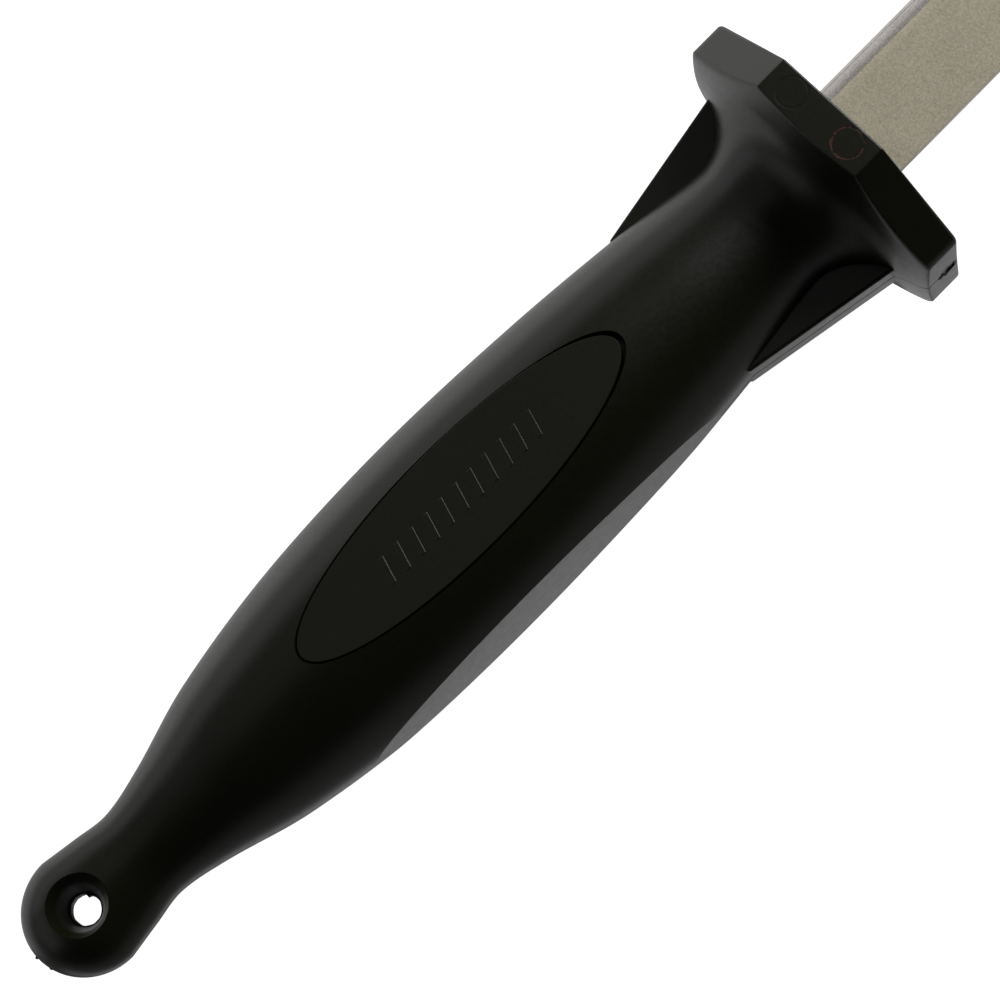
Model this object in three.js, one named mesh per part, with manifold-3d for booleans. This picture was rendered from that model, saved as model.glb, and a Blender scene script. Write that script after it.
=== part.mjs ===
// Knife sharpening steel: a teardrop-section bar with three abrasive faces, in a moulded two-half
// handle with an octagonal guard, side webs, inlaid oval plates and a hanging hole at the butt.
//
// Frame: millimetres. +X runs along the tool from the butt to the tip, +Z is up through the oval
// plates, +Y is the side of the bar's rounded spine. The origin is the middle of the whole tool.

import * as THREE from 'three';
import { mergeVertices } from 'three/addons/utils/BufferGeometryUtils.js';
import Module from 'manifold-3d';

const wasm = await Module();
wasm.setup();

// ---------------------------------------------------------------- driving dimensions

const HANDLE_LENGTH = 140.9;     // butt to the guard's front face
const BAR_EXPOSED = 254;        // guard's front face to the end of the tip cap
const GAP = 0.3;                // clearance between neighbouring pieces

const GUARD_FRONT = HANDLE_LENGTH - (HANDLE_LENGTH + BAR_EXPOSED) / 2;
const TIP_END = GUARD_FRONT + BAR_EXPOSED;

// Guard: an octagon across the tool, with a rim and a concave flare down to the waist.
const GUARD_HALF_WIDTH = 20.3;
const GUARD_HALF_HEIGHT = 19.4;
const GUARD_TOP_HALF = 8.2;     // half the length of the top and bottom flats
const GUARD_END_HALF = 8.35;    // half the height of the end flats
const RIM_THICKNESS = 4.85;
const RIM_ROUNDING = 0.4;
const FLARE_RADIUS = 5.5;
const FLARE_SLOPE = THREE.MathUtils.degToRad(69);
const FLARE_START = 12.5;       // where the flare leaves the waist, behind the guard's front face

// Grip: [distance behind the guard's front face, half width, half height]
const GRIP_PROFILE = [
  [FLARE_START, 10.6, 10.6],
  [16.2, 10.8, 10.8],
  [28.4, 12.25, 12.45],
  [45.2, 13.72, 14.0],
  [68.2, 14.7, 15.0],
  [88.2, 13.68, 13.8],
  [105, 11.15, 11.1],
  [116.6, 7.9, 7.5],
  [123, 6.68, 6.2],
  [127.9, 7.35, 6.15],
  [132.8, 8.11, 6.25],
];
const BUTT_CENTRE = 132.8;
const WEB_HALF_THICKNESS = 3;
const WEB_OUTLINE = [[33.2, 8], [28.4, 12.25], [5.4, 16.45], [5.4, 8]];

// Facets: flat lens-shaped cuts on the grip's sides, crowned along the tool.
const SIDE_FACET_DEPTH = 13.5;
const SIDE_FACET_RADIUS = 826;
const SIDE_FACET_CENTRE = 64.4;

// Oval plates and their recesses
const OVAL_CENTRE = 64.7;
const OVAL_HALF_LENGTH = 27.4;
const OVAL_HALF_WIDTH = 7.05;
const OVAL_FACE = 13.3;
const PLATE_THICKNESS = 2;

// Hanging hole: a double funnel, given as [radius, height above the middle]
const HOLE_CENTRE = BUTT_CENTRE;
const HOLE_PROFILE = [[1.93, 0.5], [2.5, 2.4], [3.3, 4.2], [3.75, 5.1], [4.4, 5.9], [4.4, 9]];

// Hollow inside the handle
const WALL = 2.9;
const HOLLOW_HALF_HEIGHT = 8.4;
const HOLLOW_FRONT = 17;
const HOLLOW_REAR = 107;
const RIB_THICKNESS = 2.4;
const RIB_COUNT = 4;

// Posts of the upper half and their sockets in the lower half: [behind the guard's front, y, radius]
const POSTS = [[2.4, 14.5, 1], [2.4, -14.5, 1], [113, 0, 2]];
const POST_HEIGHT = 2.6;

// Dowels through the tang: [name, distance behind the guard's front face]
const DOWELS = [['tang_dowel_front', 31], ['tang_dowel_rear', 88]];
const DOWEL_RADIUS = 2;
const DOWEL_HALF_LENGTH = 7.6;
const BOSS_RADIUS = 4.8;

// Bar: teardrop section with a rounded spine at +Y and a thin edge at -Y
const BAR_HALF_WIDTH = 7.36;
const SPINE_RADIUS = 3.1;
const EDGE_HALF_THICKNESS = 0.5;
const SHEET_THICKNESS = 0.4;
const SHEET_EDGE = -5.6;        // where the abrasive faces stop short of the thin edge
const SPINE_SPAN = THREE.MathUtils.degToRad(72);
const TANG_LENGTH = 97;
const SHEET_IN_GUARD = 3;       // how far the abrasive faces run into the guard

const CAP_LENGTH = 13;
const CAP_WALL = 1;
const CAP_SOCKET = 9.5;
const CAP_BEVEL = 0.8;

// ---------------------------------------------------------------- small helpers

const behind = (distance) => GUARD_FRONT - distance;

function closedGeometry(positions, indices) {
  const geometry = new THREE.BufferGeometry();
  geometry.setAttribute('position', new THREE.Float32BufferAttribute(positions, 3));
  geometry.setIndex(indices);
  return geometry;
}

function solid(geometry) {
  const bare = geometry.clone();
  bare.deleteAttribute('normal');
  bare.deleteAttribute('uv');
  const merged = mergeVertices(bare, 1e-4);
  const vertProperties = new Float32Array(merged.attributes.position.array);
  const triVerts = new Uint32Array(merged.index.array);
  return new wasm.Manifold(new wasm.Mesh({ numProp: 3, vertProperties, triVerts }));
}

function geometryOf(manifold) {
  const { vertProperties, triVerts, numProp } = manifold.getMesh();
  const positions = [];
  for (let i = 0; i < vertProperties.length; i += numProp) {
    positions.push(vertProperties[i], vertProperties[i + 1], vertProperties[i + 2]);
  }
  const geometry = closedGeometry(positions, Array.from(triVerts));
  geometry.computeVertexNormals();
  return geometry;
}

function join(solids) {
  return solids.reduce((whole, piece) => whole.add(piece));
}

function cut(whole, tools) {
  return tools.reduce((left, tool) => left.subtract(tool), whole);
}

function box(x0, x1, y0, y1, z0, z1) {
  const geometry = new THREE.BoxGeometry(x1 - x0, y1 - y0, z1 - z0);
  geometry.translate((x0 + x1) / 2, (y0 + y1) / 2, (z0 + z1) / 2);
  return solid(geometry);
}

// A cylinder along Z, closed at both ends.
function pillar(x, y, radius, z0, z1, sides = 20) {
  const geometry = new THREE.CylinderGeometry(radius, radius, z1 - z0, sides);
  geometry.rotateX(Math.PI / 2);
  geometry.translate(x, y, (z0 + z1) / 2);
  return geometry;
}

// Extrudes an outline of [y, z] points from x0 to x1.
function barAlongX(outline, x0, x1) {
  const shape = new THREE.Shape(outline.map(([y, z]) => new THREE.Vector2(y, z)));
  const geometry = new THREE.ExtrudeGeometry(shape, { depth: x1 - x0, bevelEnabled: false });
  const toX = new THREE.Matrix4().makeBasis(
    new THREE.Vector3(0, 1, 0),
    new THREE.Vector3(0, 0, 1),
    new THREE.Vector3(1, 0, 0),
  );
  geometry.applyMatrix4(toX);
  geometry.translate(x0, 0, 0);
  return geometry;
}

// Extrudes an outline of [x, y] points from z0 to z1.
function slabAlongZ(outline, z0, z1) {
  const shape = new THREE.Shape(outline.map(([x, y]) => new THREE.Vector2(x, y)));
  const geometry = new THREE.ExtrudeGeometry(shape, { depth: z1 - z0, bevelEnabled: false });
  geometry.translate(0, 0, z0);
  return geometry;
}

// Skins a row of closed rings, each a list of [y, z] points at its own x, and caps both ends.
function loft(rings) {
  const sides = rings[0].points.length;
  const positions = [];
  const indices = [];
  for (const { x, points } of rings) {
    for (const [y, z] of points) positions.push(x, y, z);
  }
  const rearCentre = rings.length * sides;
  const frontCentre = rearCentre + 1;
  positions.push(rings[0].x, 0, 0, rings[rings.length - 1].x, 0, 0);
  for (let r = 0; r < rings.length - 1; r += 1) {
    for (let k = 0; k < sides; k += 1) {
      const a = r * sides + k;
      const b = r * sides + ((k + 1) % sides);
      indices.push(a, b, a + sides, b, b + sides, a + sides);
    }
  }
  const last = (rings.length - 1) * sides;
  for (let k = 0; k < sides; k += 1) {
    const next = (k + 1) % sides;
    indices.push(rearCentre, next, k, frontCentre, last + k, last + next);
  }
  return closedGeometry(positions, indices);
}

function part(name, geometry, material) {
  const mesh = new THREE.Mesh(geometry, material);
  mesh.name = name;
  return mesh;
}

// ---------------------------------------------------------------- handle sections

// Smooth curve through the profile's rows: a cubic between each pair, with averaged slopes.
function profileAt(distance) {
  const rows = GRIP_PROFILE;
  const slope = (i, c) => {
    const before = rows[Math.max(i - 1, 0)];
    const after = rows[Math.min(i + 1, rows.length - 1)];
    return (after[c] - before[c]) / (after[0] - before[0]);
  };
  let i = 0;
  while (i < rows.length - 2 && distance > rows[i + 1][0]) i += 1;
  const span = rows[i + 1][0] - rows[i][0];
  const t = THREE.MathUtils.clamp((distance - rows[i][0]) / span, 0, 1);
  const cubic = (c) => {
    const from = rows[i][c] * (2 * t ** 3 - 3 * t ** 2 + 1) + slope(i, c) * span * (t ** 3 - 2 * t ** 2 + t);
    const to = rows[i + 1][c] * (3 * t ** 2 - 2 * t ** 3) + slope(i + 1, c) * span * (t ** 3 - t ** 2);
    return from + to;
  };
  return [cubic(1), cubic(2)];
}

// Half width and half height of the grip, closed by a rounded butt.
function gripSize(distance) {
  if (distance <= BUTT_CENTRE) return profileAt(distance);
  const t = Math.min((distance - BUTT_CENTRE) / (HANDLE_LENGTH - BUTT_CENTRE), 1);
  const shrink = Math.sqrt(1 - t * t);
  const [width, height] = profileAt(BUTT_CENTRE);
  return [width * shrink, height * shrink];
}

// How far the flare has opened, from 0 at the waist to 1 at the guard's rim.
function flareAt(distance) {
  const waist = GRIP_PROFILE[0][1];
  const along = FLARE_START - distance;
  if (along <= 0) return 0;
  const arcEnd = FLARE_RADIUS * Math.sin(FLARE_SLOPE);
  const rise = along <= arcEnd
    ? FLARE_RADIUS - Math.sqrt(FLARE_RADIUS ** 2 - along ** 2)
    : FLARE_RADIUS * (1 - Math.cos(FLARE_SLOPE)) + (along - arcEnd) * Math.tan(FLARE_SLOPE);
  return Math.min(rise / (GUARD_HALF_WIDTH - waist), 1);
}

const CORNER_LOW = Math.atan2(GUARD_END_HALF, GUARD_HALF_WIDTH);
const CORNER_HIGH = Math.atan2(GUARD_HALF_HEIGHT, GUARD_TOP_HALF);

// Angles round a section, with a vertex on every corner of the octagon.
function sectionAngles() {
  const stops = [[0, CORNER_LOW, 3], [CORNER_LOW, CORNER_HIGH, 5], [CORNER_HIGH, Math.PI / 2, 3]];
  const quarter = stops.flatMap(([from, to, steps]) => (
    Array.from({ length: steps }, (_, k) => from + ((to - from) * k) / steps)
  ));
  const half = [...quarter, Math.PI / 2, ...quarter.slice(1).reverse().map((a) => Math.PI - a)];
  return [...half, ...half.map((a) => a + Math.PI)];
}
const ANGLES = sectionAngles();

function octagonReach(angle, shrink) {
  const c = Math.abs(Math.cos(angle));
  const s = Math.abs(Math.sin(angle));
  const slopeY = GUARD_HALF_HEIGHT - GUARD_END_HALF;
  const slopeZ = GUARD_HALF_WIDTH - GUARD_TOP_HALF;
  const normal = Math.hypot(slopeY, slopeZ);
  const offset = (slopeY * GUARD_HALF_WIDTH + slopeZ * GUARD_END_HALF) / normal - shrink;
  const toEnd = (GUARD_HALF_WIDTH - shrink) / Math.max(c, 1e-6);
  const toTop = (GUARD_HALF_HEIGHT - shrink) / Math.max(s, 1e-6);
  const toSlope = offset / ((slopeY * c + slopeZ * s) / normal);
  return Math.min(toEnd, toTop, toSlope);
}

function ovalReach(angle, width, height) {
  return (width * height) / Math.hypot(height * Math.cos(angle), width * Math.sin(angle));
}

// One ring of the handle's outside, pulled in by inset all round.
function handleRing(distance, inset = 0) {
  const [width, height] = gripSize(distance);
  const flare = flareAt(distance);
  const rounding = Math.max(RIM_ROUNDING - distance, 0);
  const points = ANGLES.map((angle) => {
    const grip = ovalReach(angle, Math.max(width - inset, 0), Math.max(height - inset, 0));
    const guard = octagonReach(angle, rounding);
    const reach = grip + (guard - grip) * flare;
    return [reach * Math.cos(angle), reach * Math.sin(angle)];
  });
  return { x: behind(distance), points };
}

function handleStations() {
  const stations = [];
  for (let k = 1; k <= 5; k += 1) {
    const turn = (k / 6) * (Math.PI / 2);
    stations.push(BUTT_CENTRE + (HANDLE_LENGTH - BUTT_CENTRE) * Math.cos(turn));
  }
  stations.push(BUTT_CENTRE, 130.4, 128, 125.6, 123, 120, 116.6, 113);
  for (let k = 0; k <= 18; k += 1) stations.push(109 - k * 5.2);
  stations.push(FLARE_START, 11, 10, 9, 8.1, 7.2, RIM_THICKNESS, RIM_ROUNDING, 0);
  return stations;
}

function handleOutside() {
  const butt = { x: behind(HANDLE_LENGTH), points: ANGLES.map(() => [0, 0]) };
  const rings = [butt, ...handleStations().map((distance) => handleRing(distance))];
  const body = solid(loftFromPoint(rings));
  const webs = [1, -1].map((side) => {
    const outline = WEB_OUTLINE.map(([distance, y]) => [behind(distance), side * y]);
    return solid(slabAlongZ(outline, -WEB_HALF_THICKNESS, WEB_HALF_THICKNESS));
  });
  return cut(join([body, ...webs]), [sideFacetTool(1), sideFacetTool(-1)]);
}

// A loft whose first ring is a single point.
function loftFromPoint(rings) {
  const [tip, ...rest] = rings;
  const geometry = loft(rest);
  const positions = Array.from(geometry.attributes.position.array);
  const rearCentre = rest.length * ANGLES.length;
  positions[rearCentre * 3] = tip.x;
  return closedGeometry(positions, Array.from(geometry.index.array));
}

// What lies outside a side facet: its inner face is an arc in plan.
function sideFacetTool(side) {
  const centre = behind(SIDE_FACET_CENTRE);
  const outline = [];
  for (let k = -8; k <= 8; k += 1) {
    const x = k * 4.2;
    outline.push([centre + x, side * (SIDE_FACET_DEPTH - (x * x) / (2 * SIDE_FACET_RADIUS))]);
  }
  outline.push([centre + 34, side * 17], [centre - 34, side * 17]);
  return solid(slabAlongZ(outline, -9, 9));
}

// ---------------------------------------------------------------- cuts inside the handle

function hollow() {
  const rings = [];
  for (let distance = HOLLOW_REAR; distance > HOLLOW_FRONT; distance -= 7.5) {
    rings.push(handleRing(distance, WALL));
  }
  rings.push(handleRing(HOLLOW_FRONT, WALL));
  const low = -HOLLOW_HALF_HEIGHT;
  const room = solid(loft(rings)).intersect(
    box(behind(HOLLOW_REAR) - 1, behind(HOLLOW_FRONT) + 1, -20, 20, low, -low),
  );
  const pitch = (HOLLOW_REAR - HOLLOW_FRONT) / (RIB_COUNT + 1);
  const ribs = [];
  for (let k = 1; k <= RIB_COUNT; k += 1) {
    const x = behind(HOLLOW_FRONT + k * pitch);
    ribs.push(box(x - RIB_THICKNESS / 2, x + RIB_THICKNESS / 2, -20, 20, -20, 20));
  }
  const bosses = DOWELS.map(([, distance]) => solid(pillar(behind(distance), 0, BOSS_RADIUS, -20, 20)));
  return cut(room, [...ribs, ...bosses]);
}

function ellipseOutline(halfLength, halfWidth, steps = 56) {
  return Array.from({ length: steps }, (_, k) => {
    const turn = (k / steps) * 2 * Math.PI;
    return [halfLength * Math.cos(turn), halfWidth * Math.sin(turn)];
  });
}

function ovalRecess() {
  const floor = OVAL_FACE - PLATE_THICKNESS - GAP;
  const geometry = slabAlongZ(ellipseOutline(OVAL_HALF_LENGTH, OVAL_HALF_WIDTH), floor, 20);
  geometry.translate(behind(OVAL_CENTRE), 0, 0);
  return solid(geometry);
}

function hangingHole() {
  const upper = HOLE_PROFILE.map(([r, z]) => new THREE.Vector2(r, z));
  const lower = HOLE_PROFILE.map(([r, z]) => new THREE.Vector2(r, -z)).reverse();
  const deep = HOLE_PROFILE[HOLE_PROFILE.length - 1][1];
  const outline = [new THREE.Vector2(0, -deep), ...lower, ...upper, new THREE.Vector2(0, deep)];
  const geometry = new THREE.LatheGeometry(outline, 24);
  geometry.rotateX(Math.PI / 2);
  geometry.translate(behind(HOLE_CENTRE), 0, 0);
  return solid(geometry);
}

function tangPocket() {
  const shallow = behind(SHEET_IN_GUARD + GAP);
  const mouth = barAlongX(barOutline(-GAP), shallow, GUARD_FRONT + 1);
  const deep = barAlongX(coreOutline(GAP), behind(TANG_LENGTH + 2 * GAP), shallow + 0.1);
  return join([solid(mouth), solid(deep)]);
}

function dowelHoles() {
  const reach = DOWEL_HALF_LENGTH + GAP;
  return DOWELS.map(([, distance]) => (
    solid(pillar(behind(distance), 0, DOWEL_RADIUS + GAP, -reach, reach))
  ));
}

// ---------------------------------------------------------------- bar outlines

// Slope of the flats: they are tangent to the spine and meet the corners of the thin edge.
const SPINE_CENTRE = BAR_HALF_WIDTH - SPINE_RADIUS;
const EDGE_REACH = SPINE_CENTRE + BAR_HALF_WIDTH;
const FLAT_LEAN = Math.asin(SPINE_RADIUS / Math.hypot(EDGE_REACH, EDGE_HALF_THICKNESS))
  - Math.atan2(EDGE_HALF_THICKNESS, EDGE_REACH);

function onSpine(angle, inset) {
  const radius = SPINE_RADIUS - inset;
  return [SPINE_CENTRE + radius * Math.cos(angle), radius * Math.sin(angle)];
}

function onFlat(y, inset) {
  const rise = (y + BAR_HALF_WIDTH) * Math.tan(FLAT_LEAN);
  return [y, EDGE_HALF_THICKNESS + rise - inset / Math.cos(FLAT_LEAN)];
}

function spineArc(from, to, inset, steps) {
  return Array.from({ length: steps + 1 }, (_, k) => onSpine(from + ((to - from) * k) / steps, inset));
}

const mirrored = (outline) => outline.map(([y, z]) => [y, -z]).reverse();
const TANGENT = Math.PI / 2 + FLAT_LEAN;

// The whole section of the bar with its abrasive faces, pulled in by inset.
function barOutline(inset) {
  const upper = [...spineArc(0, TANGENT, inset, 7), onFlat(inset - BAR_HALF_WIDTH, inset)];
  return [...upper, ...mirrored(upper).slice(0, -1)];
}

// The metal core, grown by clearance: its thin edge is bare and as thick as the whole section.
function coreOutline(clearance) {
  const inset = SHEET_THICKNESS + GAP - clearance;
  const nose = SHEET_EDGE - GAP + clearance;
  const upper = [
    ...spineArc(0, TANGENT, inset, 7),
    onFlat(nose, inset),
    onFlat(nose, -clearance),
    onFlat(-BAR_HALF_WIDTH - clearance, -clearance),
  ];
  return [...upper, ...mirrored(upper).slice(0, -1)];
}

function sheetOutline() {
  const start = SPINE_SPAN + GAP / SPINE_RADIUS;
  const outer = [...spineArc(start, TANGENT, 0, 3), onFlat(SHEET_EDGE, 0)];
  const inner = [...spineArc(start, TANGENT, SHEET_THICKNESS, 3), onFlat(SHEET_EDGE, SHEET_THICKNESS)];
  return [...outer, ...inner.reverse()];
}

function spineOutline() {
  const outer = spineArc(-SPINE_SPAN, SPINE_SPAN, 0, 10);
  const inner = spineArc(-SPINE_SPAN, SPINE_SPAN, SHEET_THICKNESS, 10);
  return [...outer, ...inner.reverse()];
}

// ---------------------------------------------------------------- materials

const plastic = new THREE.MeshStandardMaterial({ color: 0x161714, roughness: 0.48, metalness: 0 });
const plateFinish = new THREE.MeshStandardMaterial({ color: 0x11120f, roughness: 0.55, metalness: 0 });
const barMetal = new THREE.MeshStandardMaterial({ color: 0x9a9480, roughness: 0.4, metalness: 0.9 });
const coarseGrit = new THREE.MeshStandardMaterial({ color: 0x948e7d, roughness: 0.65, metalness: 0.6 });
const mediumGrit = new THREE.MeshStandardMaterial({ color: 0x9b9585, roughness: 0.6, metalness: 0.6 });
const fineGrit = new THREE.MeshStandardMaterial({ color: 0xafa9a1, roughness: 0.5, metalness: 0.7 });
const dowelSteel = new THREE.MeshStandardMaterial({ color: 0xb4b5b6, roughness: 0.3, metalness: 1 });

// ---------------------------------------------------------------- pieces

function handleHalves() {
  const whole = cut(handleOutside(), [hollow(), tangPocket(), hangingHole(), ...dowelHoles()]);
  const rear = behind(HANDLE_LENGTH) - 1;
  const front = GUARD_FRONT + 1;
  const upper = box(rear, front, -25, 25, GAP / 2, 25);
  const lower = box(rear, front, -25, 25, -25, -GAP / 2);
  const turned = new THREE.Matrix4().makeRotationX(Math.PI).toArray();
  const recess = ovalRecess();
  const sockets = POSTS.map(([distance, y, radius]) => (
    solid(pillar(behind(distance), y, radius + GAP, -POST_HEIGHT - GAP, 1, 16))
  ));
  const posts = POSTS.map(([distance, y, radius]) => (
    solid(pillar(behind(distance), y, radius, -POST_HEIGHT, 2, 16))
  ));
  const top = join([whole.intersect(upper).subtract(recess), ...posts]);
  const bottom = cut(whole.intersect(lower), [recess.transform(turned), ...sockets]);
  return [
    part('handle_half_top', geometryOf(top), plastic),
    part('handle_half_bottom', geometryOf(bottom), plastic.clone()),
  ];
}

function ovalPlates() {
  const halfLength = OVAL_HALF_LENGTH - GAP;
  const halfWidth = OVAL_HALF_WIDTH - GAP;
  return [['oval_plate_top', 0], ['oval_plate_bottom', Math.PI]].map(([name, turn]) => {
    const geometry = slabAlongZ(ellipseOutline(halfLength, halfWidth), OVAL_FACE - PLATE_THICKNESS, OVAL_FACE);
    const plate = part(name, geometryOf(solid(geometry)), plateFinish.clone());
    plate.position.x = behind(OVAL_CENTRE);
    plate.rotation.x = turn;
    return plate;
  });
}

function bar() {
  const end = TIP_END - CAP_LENGTH + CAP_SOCKET - GAP;
  const blank = solid(barAlongX(coreOutline(0), behind(TANG_LENGTH), end));
  const holes = DOWELS.map(([, distance]) => (
    solid(pillar(behind(distance), 0, DOWEL_RADIUS + GAP, -5, 5))
  ));
  return part('sharpening_bar', geometryOf(cut(blank, holes)), barMetal);
}

function abrasiveFaces() {
  const from = behind(SHEET_IN_GUARD);
  const to = TIP_END - CAP_LENGTH - GAP;
  const sheet = sheetOutline();
  const under = mirrored(sheet);
  const faces = [
    ['abrasive_coarse_face', sheet, coarseGrit],
    ['abrasive_medium_face', under, mediumGrit],
    ['abrasive_fine_spine', spineOutline(), fineGrit],
  ];
  return faces.map(([name, outline, material]) => (
    part(name, geometryOf(solid(barAlongX(outline, from, to))), material)
  ));
}

function tipCap() {
  const start = TIP_END - CAP_LENGTH;
  const ring = (x, inset) => ({ x, points: barOutline(inset - CAP_WALL) });
  const outside = solid(loft([ring(start, 0), ring(TIP_END - CAP_BEVEL, 0), ring(TIP_END, CAP_BEVEL)]));
  const socket = solid(barAlongX(coreOutline(GAP), start - 1, start + CAP_SOCKET));
  return part('tip_cap', geometryOf(outside.subtract(socket)), plastic.clone());
}

function dowels() {
  return DOWELS.map(([name, distance]) => {
    const geometry = geometryOf(solid(pillar(0, 0, DOWEL_RADIUS, -DOWEL_HALF_LENGTH, DOWEL_HALF_LENGTH)));
    const dowel = part(name, geometry, dowelSteel.clone());
    dowel.position.x = behind(distance);
    return dowel;
  });
}

// ---------------------------------------------------------------- assembly

const handle = new THREE.Group();
handle.add(...handleHalves(), ...ovalPlates(), ...dowels());

const steel = new THREE.Group();
steel.add(bar(), ...abrasiveFaces(), tipCap());

const group = new THREE.Group();
group.add(handle, steel);

export default group;
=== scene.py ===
# Looks for the knife sharpening steel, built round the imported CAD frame. Shapes are worked out
# in millimetres and become metres when a mesh is made. +X is butt to tip, +Y the rounded spine
# and +Z up. "Distance" or "behind" is measured from the guard's front face towards the butt.
import math
import random

import bmesh
import bpy
import numpy as np
from mathutils import Euler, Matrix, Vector, noise


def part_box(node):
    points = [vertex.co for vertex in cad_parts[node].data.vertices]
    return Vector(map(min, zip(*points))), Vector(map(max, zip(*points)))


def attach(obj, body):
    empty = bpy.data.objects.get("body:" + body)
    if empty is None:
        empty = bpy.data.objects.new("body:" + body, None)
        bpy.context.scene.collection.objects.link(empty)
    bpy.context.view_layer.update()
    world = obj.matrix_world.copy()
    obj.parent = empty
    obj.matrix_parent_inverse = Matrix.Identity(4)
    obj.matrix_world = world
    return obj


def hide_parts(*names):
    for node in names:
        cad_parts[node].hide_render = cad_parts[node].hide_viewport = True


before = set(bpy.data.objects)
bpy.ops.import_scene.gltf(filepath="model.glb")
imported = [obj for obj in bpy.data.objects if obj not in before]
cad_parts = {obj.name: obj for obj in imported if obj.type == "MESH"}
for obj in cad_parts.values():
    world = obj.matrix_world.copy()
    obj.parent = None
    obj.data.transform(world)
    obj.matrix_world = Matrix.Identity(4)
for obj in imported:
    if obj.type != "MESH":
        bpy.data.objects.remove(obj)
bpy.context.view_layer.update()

MM = 0.001
BODY = "root"


# ------------------------------------------------------------------ sizes from the frame

def node_box(node):
    low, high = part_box(node)
    return np.array(low) / MM, np.array(high) / MM


TOP_BOX = node_box("handle_half_top")
CAP_BOX = node_box("tip_cap")
SHEET_BOX = node_box("abrasive_coarse_face")
CORE_BOX = node_box("sharpening_bar")
PLATE_BOX = node_box("oval_plate_top")

GUARD_FRONT = TOP_BOX[1][0]
TIP_END = CAP_BOX[1][0]
HANDLE_LENGTH = 141.25

GUARD_HALF_WIDTH = TOP_BOX[1][1]
GUARD_HALF_HEIGHT = TOP_BOX[1][2]
GUARD_TOP_HALF = 8.2
GUARD_END_HALF = 8.35
RIM_THICKNESS = 4.85
RIM_EDGE = (0.26, 0.5)  # radius of the rim's front edge over the top flat, and what the ends add
RIM_BACK_BLEND = (0.5, 1.3)  # the same for the back edge, as the width of its blend
TOP_CORNER_ROUNDING = 0.35
END_CORNER_ROUNDING = 1.9
FLARE_RADIUS = 9.0
FLARE_SLOPE = math.radians(69)
WAIST = 10.7
FLARE_START = 14.72
FLARE_WIDENING = 3.4  # how much wider than high the flare is where it meets the rim
PAST_THE_GUARD = 24.0  # half size that anything cut off by the guard's outline reaches

# [distance behind the guard's front face, half width, half height]
GRIP_PROFILE = np.array([
    [FLARE_START, WAIST, WAIST],
    [17.4, 10.9, 10.9],
    [28.4, 12.25, 12.45],
    [45.2, 13.72, 14.0],
    [68.2, 14.7, 15.0],
    [88.2, 13.68, 13.8],
    [105, 11.15, 11.1],
    [116.6, 7.9, 7.5],
    [123, 6.68, 6.2],
    [127.9, 7.35, 6.15],
    [132.8, 8.11, 6.25],
])
BUTT_CENTRE = 132.8
BUTT_END = GUARD_FRONT - HANDLE_LENGTH

WEB_HALF_THICKNESS = 3.0
WEB_EDGE_ROUNDING = 0.4
WEB_EDGE = ((28.4, 12.25), (5.4, 16.45))  # [distance behind the guard's front, half width]
WEB_ROOT = ((33.2, 8.0), (5.4, 8.0))

SIDE_FACET_HALF_HEIGHT = 9.0
# By side: [how far from the axis, radius of its curve, distance behind the guard, half length]
SIDE_FACETS = {1: (13.5, 826.0, 64.4, 35), -1: (12.96, 6000.0, 70.0, 41)}

OVAL_CENTRE = 64.7
OVAL_HALF_LENGTH = 27.4
OVAL_HALF_WIDTH = 7.05
OVAL_FACE = PLATE_BOX[1][2]  # height of the plate's face over the seam
POCKET_FLOOR = 10.9

SEAM_HALF_GAP = 0.008
SEAM_DEPTH = 0.1
SEAM_SLOPE = 0.1  # width of the slope on each side of the seam's groove
SEAM_WORN_OFF = (30, 118)  # the grip's seam is smooth between these distances
SEAM_FADE = 6
WALL = 2.2

# Two fine round grooves on the guard's upper flat
RING_OFFSET = 4.65
RING_RADIUS = 1.98
RING_SECTION = (  # [across the groove, height over the flat]
    (-0.17, 0.3), (-0.15, -0.002), (-0.04, -0.021), (0.04, -0.021), (0.15, -0.002), (0.17, 0.3),
)

HOLE_PROFILE = (  # [radius, height over the seam]
    (8.0, 7.6), (5.2, 6.7), (4.55, 6.3), (4.22, 6.0), (4.05, 5.7), (3.92, 5.4), (3.76, 5.05),
    (3.5, 4.5), (3.24, 3.95), (3.1, 3.65), (2.95, 3.2), (2.75, 2.6), (2.5, 1.85), (2.3, 1.25),
    (2.18, 0.95), (2.06, 0.8), (1.97, 0.7), (1.94, 0.5), (1.93, 0.25), (1.93, 0.0),
)
THROAT_HALF_HEIGHT = 0.85  # the hole's wall is ragged this near to the seam

ROUGH_SPOTS = (  # [name, centre, half sizes, seed, what it does to the handle]
    ("scar", (GUARD_FRONT - 2.05, -GUARD_HALF_WIDTH, 0), (1.75, 0.28, 1.6), 3, "DIFFERENCE"),
    ("nub", (BUTT_END + 0.05, 0.3, 0), (0.3, 0.22, 0.2), 9, "UNION"),
    ("small_nub", (BUTT_END + 0.32, -1.9, 0), (0.18, 0.3, 0.15), 5, "UNION"),
)

BAR_HALF_WIDTH = -CORE_BOX[0][1]
SPINE_RADIUS = 3.1
SPINE_SHORTFALL = 0.18  # how much narrower the visible bar is on its spine's side
EDGE_HALF_THICKNESS = 0.5

# Each cut's faces carry its number until crisp() has found the edges between cuts.
(
    WEB_CUT, FACET_CUT, OVAL_CUT, HOLE_CUT, RING_CUT, ROUGH_CUT, SPLIT_CUT, HOLLOW_CUT, ROUND_CUT
) = range(1, 10)
RIB_CUT = SOCKET_CUT = 1


# ------------------------------------------------------------------ mesh helpers

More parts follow.
